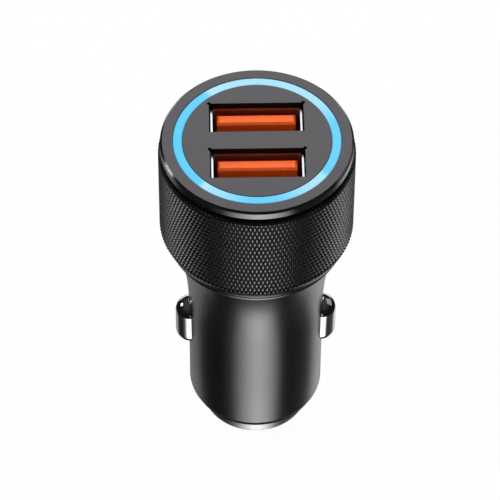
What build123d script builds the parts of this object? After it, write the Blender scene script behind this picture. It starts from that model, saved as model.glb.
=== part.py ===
from build123d import *
from math import cos, hypot, pi, sin, sqrt
import os

# Car USB charger plug: a round head with two USB sockets in its face, a body that tapers in a flare
# to a barrel for a 12 V socket, a sprung contact on each side and a sprung pin in the nose.
# Sizes are millimetres. The axis is Z with the nose down, and Z = 0 is the lower end of the
# barrel's straight wall, just above its chamfered edge.
# X runs along the sockets and through the two side contacts.

# USB sockets
port_w = 12.5
port_h = 5.12
port_pitch = 8.7
shell_t = 0.3
shell_corner_r = 0.45
shell_l = 14.0
slot_side_gap = 0.2
slot_cover = 0.135
slot_relief_r = 0.35
tab_w = 2.0
tab_below = 0.5
finger_w = 2.2
finger_l = 5.2
finger_gap = 0.3
finger_x = 3.1
finger_drop = 2.2
finger_bow = 0.35
tongue_side_gap = 0.65
tongue_t = 1.84
tongue_back_gap = 0.7
tongue_recess = 1.4
tongue_chamfer = 0.3
tongue_base_l = 3.0
strip_places = (-3.5, -1.0, 1.0, 3.5)
strip_w = 1.0
strip_t = 0.3
strip_proud = 0.1
strip_setback = 2.3
tail_w = 0.5
tail_below = 1.0

# Light ring in the face and its lamps
ring_margin = 0.86
ring_w = 1.41
ring_t = 1.4
ring_flush = 0.04
leg_r = 0.45
leg_edge = 0.12
leg_count = 4
leg_start_angle = 45
lamp_w = 1.6
lamp_d = 0.8
lamp_h = 0.7
lamp_corner_r = 0.12
lamp_chamfer = 0.1
lamp_gap = 0.25

# Face plate
plate_rim_w = 1.76
plate_rim_t = 1.3
plate_chamfer = 0.3
plate_t = 1.0
plate_boss_t = 2.6
boss_wall = 0.55
skirt_wall = 0.55
skirt_l = 3.4

# Cup of the housing, under the plate and the sleeve
shadow_gap = 0.8
shadow_depth = 0.79
cup_wall = 0.8
shelf_w = 1.3
shelf_above = 3.37

# Knurled sleeve over the cup
sleeve_wall = 1.07
lip_l = 1.75
lip_low_step = 0.73
lip_high_step = 0.13
knurl_depth = 0.3
knurl_pitch = 1.23
knurl_row = 1.66
knurl_top_band = 0.3

# Flange under the sleeve, flare and barrel
flange_step = 1.13
flange_edge = 0.85
flange_t = 0.5
seam_depth = 0.2
seam_h = 0.55
flare_l = 14.645
flare_above = 5.0
barrel_r = 9.98
barrel_wall = 1.6
barrel_edge = 0.2
barrel_plain_l = 8.45
barrel_draft = 0.03

# Side contacts and their leaf springs
contact_r = 2.2
contact_l = 4.1
contact_edge = 0.685
contact_sink = 0.18
contact_head_lip = 0.7
contact_head_t = 0.7
contact_head_clear = 0.8
leaf_t = 0.25
leaf_w = 3.0
leaf_bend_r = 1.0
leaf_foot_l = 3.0
leaf_foot_above = 6.0
leaf_elbow_above = 2.0
leaf_end_below = 2.4

# Nose: insulating bush, nose cap, pin, spring and terminal
bush_flange_lip = 1.1
bush_flange_t = 0.7
bush_web_t = 0.8
nose_step = 0.39
nose_drop = 4.35
nose_chamfer = 0.35
nose_floor_t = 1.35
bush_wall = 2.12
shank_l = 5.0
shank_wall = 1.45
pin_shoulder = 1.55
pin_proud = 3.65
pin_dome_h = 1.5
pin_head_gap = 0.35
pin_head_t = 1.2
spring_side_gap = 0.92
spring_wire_r = 0.28
spring_turns = 6
spigot_gap = 0.67
spigot_l = 1.5
terminal_lip = 0.87
terminal_t = 0.4
terminal_tab_w = 3.0
terminal_tab_l = 3.6

# Boards
usb_board_t = 1.6
board_t = 1.2
board_side_gap = 1.3
board_tongue_w = 5.0

# Parts on the main board: width across the board, length along Z and height off the board
under_shelf = 2.4
inductor_w = 7.3
inductor_h = 4.5
inductor_corner_r = 1.6
inductor_core_r = 2.6
inductor_core_depth = 0.3
can_r = 3.15
can_h = 5.4
can_base_w = 6.6
can_base_h = 0.8
can_groove = 0.15
can_groove_w = 0.4
block_w = 4.3
block_l = 7.3
block_h = 2.9
block_gap = 0.75
chip_w = 4.9
chip_l = 3.9
chip_h = 1.5
chip_gap = 1.2
chip_lead_count = 4
chip_lead_pitch = 1.27
chip_lead_w = 0.42
chip_lead_t = 0.22
chip_lead_out = 1.05
chip_standoff = 0.12
diode_w = 2.6
diode_l = 4.3
diode_h = 2.2
diode_gap = 1.5
diode_lead_w = 1.4
diode_lead_t = 0.25
fuse_w = 2.4
fuse_l = 6.0
fuse_h = 2.0
fuse_gap = 1.2
fuse_edge_gap = 1.15
fuse_cap_l = 1.3
fuse_cap_proud = 0.12
mould_taper = 6

# Fits
press_gap = 0.03
seat_gap = 0.05
slide_gap = 0.12
pin_gap = 0.12
solder_gap = 0.1
spring_gap = 0.3

# Radii of the head, from the sockets outwards
shell_w = port_w + 2 * shell_t
shell_h = port_h + 2 * shell_t
port_corner_r = hypot(shell_w / 2, (port_pitch + shell_h) / 2)
ring_in_r = port_corner_r + ring_margin
ring_out_r = ring_in_r + ring_w
leg_circle_r = ring_in_r + leg_edge + leg_r
plate_r = ring_out_r + plate_rim_w
cup_r = plate_r - shadow_depth
cup_in_r = cup_r - cup_wall
shelf_in_r = cup_in_r - shelf_w
skirt_r = cup_in_r - press_gap
sleeve_in_r = cup_r + press_gap
sleeve_r = sleeve_in_r + sleeve_wall
valley_r = sleeve_r - knurl_depth
flange_r = sleeve_r - flange_step
flare_top_r = flange_r - flange_edge
seam_r = flange_r - seam_depth
bore_r = barrel_r - barrel_wall

# Radii of the nose, from the bore inwards
nose_r = bore_r - nose_step
shank_r = bore_r - bush_wall
chamber_r = shank_r - shank_wall
pin_r = chamber_r - pin_shoulder
spring_r = chamber_r - spring_side_gap - spring_wire_r
spring_hole_r = spring_r + spring_wire_r + spring_gap

# Heights, from the barrel up to the face
contact_z = barrel_plain_l + contact_edge + slide_gap + contact_r + contact_l / 2
straight_l = contact_z + flare_above
flange_z = straight_l + flare_l
seam_z = flange_z + flange_t
sleeve_z = seam_z + seam_h
shelf_z = flange_z + shelf_above
usb_board_z = shelf_z + usb_board_t
port_z = usb_board_z + shell_l
face_z = port_z + press_gap + plate_t
rim_z = face_z - plate_rim_t
sleeve_top_z = rim_z - shadow_gap
groove_z = face_z - ring_flush - ring_t
tongue_base_z = usb_board_z + tongue_base_l
tongue_z = face_z - tongue_recess
tail_z = shelf_z - tail_below

# Side contacts
contact_x = barrel_r - contact_sink
contact_head_r = contact_r + contact_head_lip
contact_head_x = sqrt(bore_r**2 - contact_head_r**2) - seat_gap
leaf_x = contact_head_x - contact_head_t - seat_gap - leaf_t / 2
leaf_foot_z = contact_z + leaf_foot_above

# Heights of the nose, from the contacts down
barrel_end_z = -barrel_edge
terminal_top_z = contact_z - contact_l / 2 - contact_head_r - contact_head_clear
bush_top_z = terminal_top_z - terminal_t
collar_z = barrel_end_z - bush_flange_t
nose_low_z = barrel_end_z - nose_drop
chamber_z = nose_low_z + nose_floor_t
pin_head_z = chamber_z + seat_gap
pin_seat_z = pin_head_z + pin_head_t
pin_low_z = nose_low_z - pin_proud

# Places across the sockets and the main board
tongue_y = port_h / 2 - tongue_back_gap - tongue_t
strip_y = tongue_y - strip_proud
board_half_w = sqrt(bore_r**2 - (board_t / 2) ** 2) - board_side_gap


def turned(*points):
    """Turn an outline of radius and height points about the axis."""
    return revolve(Plane.XZ * make_face(Polyline(*points, close=True)), Axis.Z)


def bent_strip(points, bend_r, thickness, width):
    """Bend a strip of sheet along points of X and Z, centred on Y."""
    middle = trace(FilletPolyline(*points, radius=bend_r), line_width=thickness)
    return extrude(Plane.XZ * middle, amount=width / 2, both=True)


def standing_box(width, depth, height):
    """Box centred on X and Y that stands on its local XY plane."""
    return Box(width, depth, height, align=(Align.CENTER, Align.CENTER, Align.MIN))


def pill(radius, x_from, x_to):
    """Bar of the side contact's long round section, from one X to another."""
    section = Rot(0, 0, 90) * SlotCenterToCenter(contact_l, 2 * radius)
    return extrude(Plane.YZ.offset(x_from) * Pos(0, contact_z) * section, amount=x_to - x_from)


def board_face(side, y, z):
    """Plane on one face of the main board, with its normal away from the board."""
    return Plane(origin=(side * board_t / 2, y, z), x_dir=(0, 1, 0), z_dir=(side, 0, 0))


def housing():
    """Turned body with the barrel, the flare, the flange and the cup of the head."""
    drafted_r = barrel_r + barrel_draft
    with BuildLine() as outline:
        Polyline(
            (bore_r, straight_l), (bore_r, barrel_end_z), (barrel_r - barrel_edge, barrel_end_z),
            (barrel_r, 0), (barrel_r, barrel_plain_l), (drafted_r, straight_l),
        )
        TangentArc((drafted_r, straight_l), (flare_top_r, flange_z), tangent=(0, 1))
        Polyline(
            (flare_top_r, flange_z), (flange_r, flange_z), (flange_r, seam_z),
            (seam_r, seam_z), (seam_r, sleeve_z), (cup_r, sleeve_z),
            (cup_r, rim_z), (cup_in_r, rim_z), (cup_in_r, shelf_z), (shelf_in_r, shelf_z),
        )
        TangentArc((bore_r, straight_l), (shelf_in_r, shelf_z), tangent=(0, 1))
    body = revolve(Plane.XZ * make_face(outline.line), Axis.Z)
    return body - pill(contact_r + slide_gap, -flange_r, flange_r)


def knurled_band(low_z, high_z):
    """Ring with a diamond knurl: each diamond is a pyramid between crossing grooves."""
    starts = round(2 * pi * sleeve_r / knurl_pitch)
    rows = round((high_z - low_z) / knurl_row)

    def point(radius, column, row):
        angle = 2 * pi * column / starts
        height = low_z + (high_z - low_z) * row / rows
        return (radius * cos(angle), radius * sin(angle), height)

    def triangle(*corners):
        return Face(Wire.make_polygon(corners, close=True))

    faces = []
    for row in range(rows + 1):
        rim = []
        for column in range(starts):
            start = column + (row % 2) / 2
            left = point(valley_r, start, row)
            tip = point(sleeve_r, start + 0.5, row)
            right = point(valley_r, start + 1, row)
            rim += [left, tip]
            for next_row in (row - 1, row + 1):
                if 0 <= next_row <= rows:
                    end = point(valley_r, start + 0.5, next_row)
                    faces.append(triangle(tip, left, end))
                    faces.append(triangle(tip, end, right))
        if row in (0, rows):
            level = Plane.XY.offset(rim[0][2])
            faces.append(Face(Wire.make_polygon(rim, close=True), [Wire.make_circle(sleeve_in_r, level)]))
    bore = Solid.make_cylinder(sleeve_in_r, high_z - low_z, Plane.XY.offset(low_z))
    faces.append(bore.faces().filter_by(GeomType.CYLINDER)[0])
    return Solid(Shell(faces))


def knurled_sleeve():
    """Sleeve over the cup: smooth bevelled lip, knurled band and a plain top edge."""
    knurl_low_z = sleeve_z + lip_l
    knurl_high_z = sleeve_top_z - knurl_top_band
    lip = turned(
        (sleeve_in_r, sleeve_z), (sleeve_r - lip_low_step, sleeve_z),
        (sleeve_r - lip_high_step, knurl_low_z), (sleeve_in_r, knurl_low_z),
    )
    top = turned(
        (sleeve_in_r, knurl_high_z), (valley_r, knurl_high_z),
        (valley_r, sleeve_top_z), (sleeve_in_r, sleeve_top_z),
    )
    return lip + knurled_band(knurl_low_z, knurl_high_z) + top


def leg_circle(radius):
    """Circles on the places of the light ring's legs."""
    return Sketch() + PolarLocations(leg_circle_r, leg_count, leg_start_angle) * Circle(radius)


def face_plate():
    """Plate with a chamfered rim, the groove of the light ring, a skirt and the two socket slots."""
    boss_z = face_z - plate_boss_t
    boss_in_r = ring_in_r - boss_wall
    skirt_in_r = skirt_r - skirt_wall
    skirt_z = rim_z - skirt_l
    plate = turned(
        (0, face_z - plate_t), (boss_in_r, face_z - plate_t), (boss_in_r, boss_z), (skirt_in_r, boss_z),
        (skirt_in_r, skirt_z), (skirt_r, skirt_z), (skirt_r, rim_z), (plate_r, rim_z),
        (plate_r, face_z - plate_chamfer), (plate_r - plate_chamfer, face_z), (ring_out_r, face_z),
        (ring_out_r, groove_z), (ring_in_r, groove_z), (ring_in_r, face_z), (0, face_z),
    )
    slot_w = shell_w + 2 * slot_side_gap
    slot_h = shell_h - 2 * slot_cover
    relief = Pos(0, slot_h / 2) * GridLocations(slot_w, 0, 2, 1) * Circle(slot_relief_r)
    slots = Sketch() + GridLocations(0, port_pitch, 1, 2) * (Rectangle(slot_w, slot_h) + relief)
    plate -= extrude(Plane.XY.offset(face_z) * slots, amount=-plate_t)
    return plate - extrude(Plane.XY.offset(groove_z) * leg_circle(leg_r + seat_gap), amount=-plate_boss_t)


def light_ring():
    """Clear ring, flush in its groove, with a leg over each lamp."""
    in_r = ring_in_r + press_gap
    out_r = ring_out_r - press_gap
    top_z = groove_z + ring_t
    ring = turned((in_r, groove_z), (out_r, groove_z), (out_r, top_z), (in_r, top_z))
    leg_l = groove_z - usb_board_z - lamp_h - lamp_gap
    return ring + extrude(Plane.XY.offset(groove_z) * leg_circle(leg_r), amount=-leg_l)


def ring_leds():
    """Lamps on the round board, one under each leg of the light ring."""
    lamp = extrude(RectangleRounded(lamp_d, lamp_w, lamp_corner_r), amount=lamp_h)
    lamp = chamfer(lamp.faces().sort_by(Axis.Z)[-1].edges(), lamp_chamfer)
    places = PolarLocations(leg_circle_r, leg_count, leg_start_angle)
    return Part() + [Pos(0, 0, usb_board_z) * place * lamp for place in places]


def usb_shell(y):
    """Folded shell of one socket, with spring fingers in its wide walls and two solder tabs."""
    outside = RectangleRounded(shell_w, shell_h, shell_corner_r + shell_t)
    section = outside - RectangleRounded(port_w, port_h, shell_corner_r)
    shell = extrude(Plane.XY.offset(usb_board_z) * section, amount=shell_l)
    window_z = port_z - finger_drop - finger_l
    window = standing_box(finger_w + 2 * finger_gap, shell_h + shell_t, finger_l)
    shell -= [Pos(x, 0, window_z) * window for x in (-finger_x, finger_x)]
    lean = finger_bow / finger_l * 180 / pi
    finger = standing_box(finger_w, shell_t, finger_l - finger_gap)
    tab = standing_box(shell_t, tab_w, usb_board_t + tab_below)
    for side in (-1, 1):
        for x in (-finger_x, finger_x):
            root = Pos(x, side * (port_h + shell_t) / 2, window_z - shell_t)
            shell += root * Rot(side * lean, 0, 0) * finger
        shell += Pos(side * (port_w + shell_t) / 2, 0, shelf_z - tab_below) * tab
    return Pos(0, y, 0) * shell


def contact_strips(gap):
    """The four contact strips of one socket with their tails, made larger by a gap on each side."""
    width = strip_w + 2 * gap
    depth = strip_t + 2 * gap
    strip = standing_box(width, depth, tongue_z - strip_setback + gap - tongue_base_z)
    tail = standing_box(tail_w + 2 * gap, depth, tongue_base_z - tail_z)
    one = Pos(0, strip_y + strip_t / 2, tongue_base_z) * strip
    one += Pos(0, strip_y + strip_t / 2, tail_z) * tail
    return [Pos(x, 0, 0) * one for x in strip_places]


def usb_tongue(y):
    """Insulator of one socket: a base block in the shell and the tongue that carries the strips."""
    block = RectangleRounded(port_w - 2 * press_gap, port_h - 2 * press_gap, shell_corner_r)
    base = extrude(Plane.XY.offset(usb_board_z) * block, amount=tongue_base_l)
    blade = standing_box(port_w - 2 * tongue_side_gap, tongue_t, tongue_z - tongue_base_z)
    blade = chamfer(blade.faces().sort_by(Axis.Z)[-1].edges(), tongue_chamfer)
    body = base + Pos(0, tongue_y + tongue_t / 2, tongue_base_z) * blade
    return Pos(0, y, 0) * (body - contact_strips(press_gap))


def usb_terminals(y):
    """Four contact strips of one socket, with tails that go through the round board."""
    return Pos(0, y, 0) * (Part() + contact_strips(0))


def usb_board():
    """Round board on the shelf of the cup, with holes for tails, tabs and the main board's tongue."""
    disc = Circle(cup_in_r - slide_gap)
    tongue_hole = Rectangle(board_t + 2 * solder_gap, board_tongue_w + 2 * solder_gap)
    tab_hole = Rectangle(shell_t + 2 * solder_gap, tab_w + 2 * solder_gap)
    tab_holes = GridLocations(port_w + shell_t, port_pitch, 2, 2) * tab_hole
    tail_hole = Rectangle(tail_w + 2 * solder_gap, strip_t + 2 * solder_gap)
    tail_holes = [
        Pos(x, y + strip_y + strip_t / 2) * tail_hole
        for y in (-port_pitch / 2, port_pitch / 2)
        for x in strip_places
    ]
    sheet = disc - tongue_hole - tab_holes - tail_holes
    return extrude(Plane.XY.offset(shelf_z) * sheet, amount=usb_board_t)


def main_board():
    """Upright board that stands on the terminal and enters the round board with a tongue."""
    low_edge = (Align.CENTER, Align.MIN)
    blank = Pos(0, terminal_top_z) * Rectangle(2 * board_half_w, shelf_z - terminal_top_z, align=low_edge)
    tongue = Pos(0, shelf_z) * Rectangle(board_tongue_w, usb_board_t, align=low_edge)
    return extrude(Plane.YZ * (blank + tongue), amount=board_t / 2, both=True)


def nose_bush():
    """Insulating bush in the end of the barrel, with a web that carries the terminal."""
    bush_r = bore_r - press_gap
    flange_out_r = bore_r + bush_flange_lip
    in_r = shank_r + press_gap
    web_z = bush_top_z - bush_web_t
    return turned(
        (in_r, collar_z), (flange_out_r, collar_z), (flange_out_r, barrel_end_z), (bush_r, barrel_end_z),
        (bush_r, bush_top_z), (spring_hole_r, bush_top_z), (spring_hole_r, web_z), (in_r, web_z),
    )


def nose_cap():
    """Plated nose: collar, shank in the bush and the chamber of the pin."""
    shank_z = collar_z + shank_l
    hole_r = pin_r + pin_gap
    return turned(
        (hole_r, nose_low_z), (nose_r - nose_chamfer, nose_low_z), (nose_r, nose_low_z + nose_chamfer),
        (nose_r, collar_z), (shank_r, collar_z), (shank_r, shank_z), (chamber_r, shank_z),
        (chamber_r, chamber_z), (hole_r, chamber_z),
    )


def tip_pin():
    """Sprung pin: domed end, head that stops on the floor of the nose and a spigot for the spring."""
    dome_z = pin_low_z + pin_dome_h
    head_r = chamber_r - pin_head_gap
    spigot_r = spring_r - spring_wire_r - spigot_gap
    spigot_z = pin_seat_z + spigot_l
    with BuildLine() as outline:
        TangentArc((0, pin_low_z), (pin_r, dome_z), tangent=(1, 0))
        Polyline(
            (pin_r, dome_z), (pin_r, pin_head_z), (head_r, pin_head_z), (head_r, pin_seat_z),
            (spigot_r, pin_seat_z), (spigot_r, spigot_z), (0, spigot_z), (0, pin_low_z),
        )
    return revolve(Plane.XZ * make_face(outline.line), Axis.Z)


def tip_spring():
    """Coil spring between the head of the pin and the terminal."""
    low_z = pin_seat_z + spring_wire_r + seat_gap
    height = bush_top_z - seat_gap - spring_wire_r - low_z
    coil = Helix(pitch=height / spring_turns, height=height, radius=spring_r)
    wire = Plane(coil @ 0, z_dir=coil % 0) * Circle(spring_wire_r)
    return Pos(0, 0, low_z) * sweep(wire, path=coil, is_frenet=True)


def tip_terminal():
    """Plate on the web of the bush, with a tab that is soldered to the main board."""
    plate = extrude(Plane.XY.offset(bush_top_z) * Circle(spring_hole_r + terminal_lip), amount=terminal_t)
    tab = standing_box(terminal_t, terminal_tab_w, terminal_tab_l)
    return plate + Pos(-(board_t + terminal_t) / 2, 0, terminal_top_z) * tab


def side_contact():
    """Plated pad on the right: round-ended dome, shank in the wall and a head behind the wall."""
    ends = [Pos(0, 0, side * contact_l / 2) * Sphere(contact_r) for side in (-1, 1)]
    dome = Pos(contact_x, 0, contact_z) * (Cylinder(contact_r, contact_l) + ends)
    shank = pill(contact_r, contact_head_x, contact_x)
    head = pill(contact_head_r, contact_head_x - contact_head_t, contact_head_x)
    return head + shank + dome


def contact_leaf():
    """Leaf spring on the right: foot on the main board, sloping arm and a flat behind the contact."""
    foot_x = (board_t + leaf_t) / 2
    route = (
        (foot_x, leaf_foot_z + leaf_foot_l),
        (foot_x, leaf_foot_z),
        (leaf_x, contact_z + leaf_elbow_above),
        (leaf_x, contact_z - leaf_end_below),
    )
    return bent_strip(route, leaf_bend_r, leaf_t, leaf_w)


def power_inductor():
    """Shielded choke with a round core in its top."""
    body = extrude(RectangleRounded(inductor_w, inductor_w, inductor_corner_r), amount=inductor_h)
    body = chamfer(body.faces().sort_by(Axis.Z)[-1].edges(), inductor_core_depth)
    core = Pos(0, 0, inductor_h) * Cylinder(inductor_core_r, 2 * inductor_core_depth)
    return board_face(1, 0, shelf_z - under_shelf - inductor_w / 2) * (body - core)


def input_capacitor():
    """Can capacitor on a square base, with a rolled groove."""
    base = extrude(RectangleRounded(can_base_w, can_base_w, can_base_h), amount=can_base_h)
    groove_low = can_base_h + can_groove_w
    groove_high = groove_low + can_groove_w
    can = turned(
        (0, can_base_h), (can_r, can_base_h), (can_r, groove_low), (can_r - can_groove, groove_low),
        (can_r - can_groove, groove_high), (can_r, groove_high), (can_r, can_h - can_groove_w),
        (can_r - can_groove_w, can_h), (0, can_h),
    )
    return board_face(-1, 0, shelf_z - under_shelf - can_base_w / 2) * (base + can)


def moulded_block(width, length, height):
    """Moulded block with drafted sides, standing on its local XY plane."""
    return extrude(Rectangle(width, length), amount=height, taper=mould_taper)


def output_capacitor():
    """Moulded block capacitor beside the foot of the left leaf."""
    y = (leaf_w + block_w) / 2 + block_gap
    return board_face(-1, y, leaf_foot_z + leaf_foot_l / 2) * moulded_block(block_w, block_l, block_h)


def converter_chip():
    """Converter in a moulded body, with a row of bent leads on two sides."""
    body = Pos(0, 0, chip_standoff) * moulded_block(chip_w, chip_l, chip_h)
    reach = chip_l / 2 + chip_lead_out
    hip_z = chip_standoff + chip_h / 2
    route = (
        (chip_l / 4, hip_z),
        (reach - chip_lead_out * 2 / 3, hip_z),
        (reach - chip_lead_out / 2, chip_lead_t / 2),
        (reach, chip_lead_t / 2),
    )
    lead = Rot(0, 0, 90) * bent_strip(route, chip_lead_t / 2, chip_lead_t, chip_lead_w)
    for place in GridLocations(chip_lead_pitch, 0, chip_lead_count, 1):
        body += place * lead
        body += place * Rot(0, 0, 180) * lead
    return board_face(1, 0, terminal_top_z + chip_gap + reach) * body


def rectifier_diode():
    """Moulded diode above the tab of the terminal, on a wide strip that shows at both ends."""
    body = Pos(0, 0, diode_lead_t) * moulded_block(diode_w, diode_l, diode_h)
    strip = standing_box(diode_lead_w, diode_l, diode_lead_t)
    z = terminal_top_z + terminal_tab_l + diode_gap + diode_l / 2
    return board_face(-1, 0, z) * (body + strip)


def fuse():
    """Block fuse beside the tab of the terminal, with a metal cap on each end."""
    body = Pos(0, 0, fuse_h / 2) * Box(fuse_w, fuse_l, fuse_h - 2 * fuse_cap_proud)
    cap = Box(fuse_w + 2 * fuse_cap_proud, fuse_cap_l, fuse_h)
    for side in (-1, 1):
        body += Pos(0, side * (fuse_l - fuse_cap_l) / 2, fuse_h / 2) * cap
    y = board_half_w - fuse_edge_gap - fuse_cap_proud - fuse_w / 2
    return board_face(-1, y, terminal_top_z + fuse_gap + fuse_l / 2) * body


back_y = port_pitch / 2
front_y = -port_pitch / 2
nodes = {
    "housing": housing(),
    "knurled_sleeve": knurled_sleeve(),
    "face_plate": face_plate(),
    "light_ring": light_ring(),
    "ring_leds": ring_leds(),
    "usb_shell_back": usb_shell(back_y),
    "usb_shell_front": usb_shell(front_y),
    "usb_tongue_back": usb_tongue(back_y),
    "usb_tongue_front": usb_tongue(front_y),
    "usb_terminals_back": usb_terminals(back_y),
    "usb_terminals_front": usb_terminals(front_y),
    "usb_board": usb_board(),
    "main_board": main_board(),
    "nose_bush": nose_bush(),
    "nose_cap": nose_cap(),
    "tip_pin": tip_pin(),
    "tip_spring": tip_spring(),
    "tip_terminal": tip_terminal(),
    "side_contact_right": side_contact(),
    "side_contact_left": mirror(side_contact(), about=Plane.YZ),
    "contact_leaf_right": contact_leaf(),
    "contact_leaf_left": mirror(contact_leaf(), about=Plane.YZ),
    "power_inductor": power_inductor(),
    "input_capacitor": input_capacitor(),
    "output_capacitor": output_capacitor(),
    "converter_chip": converter_chip(),
    "rectifier_diode": rectifier_diode(),
    "fuse": fuse(),
}

os.makedirs("parts", exist_ok=True)
for name, shape in nodes.items():
    export_step(shape, f"parts/{name}.step")
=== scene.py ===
import logging
from abc import ABC, abstractmethod
from collections.abc import Callable
from dataclasses import dataclass
from enum import Enum, IntEnum
from math import asin, cos, pi, radians, sin

import bmesh
import bpy
from mathutils import Matrix, Vector


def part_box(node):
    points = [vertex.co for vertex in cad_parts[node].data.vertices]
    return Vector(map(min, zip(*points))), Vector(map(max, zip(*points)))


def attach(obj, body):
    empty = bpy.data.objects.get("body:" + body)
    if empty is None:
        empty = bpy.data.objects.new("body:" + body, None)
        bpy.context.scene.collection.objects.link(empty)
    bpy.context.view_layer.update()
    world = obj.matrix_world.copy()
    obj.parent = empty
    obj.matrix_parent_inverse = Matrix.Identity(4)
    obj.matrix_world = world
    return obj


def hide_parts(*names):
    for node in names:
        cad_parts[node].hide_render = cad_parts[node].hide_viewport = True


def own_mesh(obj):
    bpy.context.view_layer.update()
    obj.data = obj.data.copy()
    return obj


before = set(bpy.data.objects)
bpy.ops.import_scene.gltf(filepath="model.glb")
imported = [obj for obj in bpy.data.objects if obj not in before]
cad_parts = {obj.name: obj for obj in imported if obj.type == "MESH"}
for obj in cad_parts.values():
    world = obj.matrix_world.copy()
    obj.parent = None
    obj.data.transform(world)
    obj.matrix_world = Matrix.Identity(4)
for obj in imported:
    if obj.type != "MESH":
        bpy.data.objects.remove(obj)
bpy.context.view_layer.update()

# Car USB charger plug on its nose, with the knurled head up and the lit ring on.
# Sizes in this file are millimetres, and a mesh is scaled to metres when it becomes a piece.
# The axis is Z, the sockets and the side contacts lie along X, and the camera looks from -Y.
MM = 0.001
# Points closer than this are merged: the first distance for turned outlines, the second for cut meshes.
WELD = 1e-5
LOOSE_WELD = 1e-4
# Edges that turn by more degrees than the first are rounded, and past the second they are shaded sharp.
SHARP = 30
SHADED_SHARP = 35
# A face looks up when its normal has this share upwards, and lies in a plane when it is this near.
UPWARD = 0.99
NEAR = 0.01
# Part of the noise's range, from 0 to 1, that most of its values fall in.
NOISE_LOW = 0.3
NOISE_HIGH = 0.7
# Inner and outer radius of the glowing ring, and radius of the circle that its legs stand on.
RING = (10.631, 11.981)
LEG_CIRCLE_R = 11.171
# Numbers of the sockets of a mix node that take its two colours and give the mixed one.
MIX_FIRST = 6
MIX_SECOND = 7
MIX_RESULT = 2

Outline = list[tuple[float, float]]
Levels = tuple[tuple[float, float], ...]
Colour = tuple[float, float, float, float]
Mesh = bmesh.types.BMesh
Points = list[bmesh.types.BMVert]
Edges = list[bmesh.types.BMEdge]
Items = list[bmesh.types.BMVert | bmesh.types.BMEdge | bmesh.types.BMFace]
Piece = bpy.types.Object
Tree = bpy.types.NodeTree
Node = bpy.types.Node
Socket = bpy.types.NodeSocket
Stops = list[tuple[float, Colour]]
Ramp = tuple[Socket, Stops]
log = logging.getLogger("charger")


class Steps(IntEnum):
    """Steps of a full turn or of an arc, by what they shape."""

    BODY = 192
    PIN = 128
    CONTACT = 96
    COIL = 36
    HOLE = 32
    CURVE = 24
    HIDDEN = 16
    CORNER = 8


class Body(Enum):
    """Bodies that a piece rides on."""

    MAIN = "body"
    TIP = "tip"
    LEFT = "left_contact"
    RIGHT = "right_contact"


class Side(Enum):
    """Side of the barrel that a sprung contact is on."""

    LEFT = -1
    RIGHT = 1

    @property
    def word(self) -> str:
        """Name of the side in lower case, as the solids use it."""
        return self.name.lower()

    @property
    def body(self) -> Body:
        """Body that the contact of this side rides on."""
        return Body[self.name]


class Port(Enum):
    """One of the two sockets in the face."""

    BACK = "back"
    FRONT = "front"


# Meshes


def span(node: str) -> tuple[Vector, Vector]:
    """Lowest and highest corner of a solid, in millimetres."""
    low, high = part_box(node)
    return low / MM, high / MM


def whole(bm: Mesh) -> Items:
    """Every vertex, edge and face of a mesh."""
    return bm.verts[:] + bm.edges[:] + bm.faces[:]


def points_of(items: Items) -> Points:
    """Vertices among the items that a mesh operator gives back."""
    return [item for item in items if isinstance(item, bmesh.types.BMVert)]


def open_edges(bm: Mesh) -> Edges:
    """Edges with a face on one side only."""
    return [edge for edge in bm.edges if edge.is_boundary]


def fan(sweep: float, steps: int) -> list[float]:
    """Angles from 0 to the sweep, in equal steps."""
    return [sweep * step / steps for step in range(steps + 1)]


def turn(outline: Outline, segments: int, closed: bool = True) -> Mesh:
    """Turn an outline of radius and height about the axis.

    Args:
        outline: points of the section, in order.
        segments: steps of the full turn.
        closed: join the last point to the first; an open outline gets its end loops filled.

    Returns:
        A mesh in millimetres.
    """
    bm = bmesh.new()
    points = [bm.verts.new((radius, 0, height)) for radius, height in outline]
    for start, end in zip(points, points[1:]):
        bm.edges.new((start, end))
    if closed:
        bm.edges.new((points[-1], points[0]))
    bmesh.ops.spin(
        bm, geom=whole(bm), cent=(0, 0, 0), axis=(0, 0, 1), angle=2 * pi, steps=segments, use_merge=True
    )
    bmesh.ops.remove_doubles(bm, verts=bm.verts, dist=WELD)
    rims = open_edges(bm)
    if rims:
        bmesh.ops.edgeloop_fill(bm, edges=rims)
    bmesh.ops.recalc_face_normals(bm, faces=bm.faces)
    return bm


def arc(start: tuple[float, float], end: tuple[float, float], steps: int) -> Outline:
    """Points of an outward arc that leaves the start straight up.

    Args:
        start: radius and height where the arc is upright.
        end: radius and height where it stops, further out and higher.
        steps: pieces of the arc.

    Returns:
        Points from the start to the end.
    """
    out = end[0] - start[0]
    rise = end[1] - start[1]
    bend = (out**2 + rise**2) / (2 * out)
    sweep = asin(rise / bend)
    return [(start[0] + bend * (1 - cos(a)), start[1] + bend * sin(a)) for a in fan(sweep, steps)]


def bevel_edges(bm: Mesh, edges: Edges, width: float, segments: int = 3) -> None:
    """Round some edges of a mesh by a width, with so many faces across the rounding."""
    bmesh.ops.bevel(
        bm, geom=edges, offset=width, offset_type="OFFSET", affect="EDGES", segments=segments,
        profile=0.5, material=-1, clamp_overlap=True,
    )


def soften(bm: Mesh, width: float) -> None:
    """Round the sharp edges of a mesh by a width in millimetres."""
    least = radians(SHARP)
    sharp = [edge for edge in bm.edges if edge.is_manifold and edge.calc_face_angle(0) > least]
    bevel_edges(bm, sharp, width)


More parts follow.
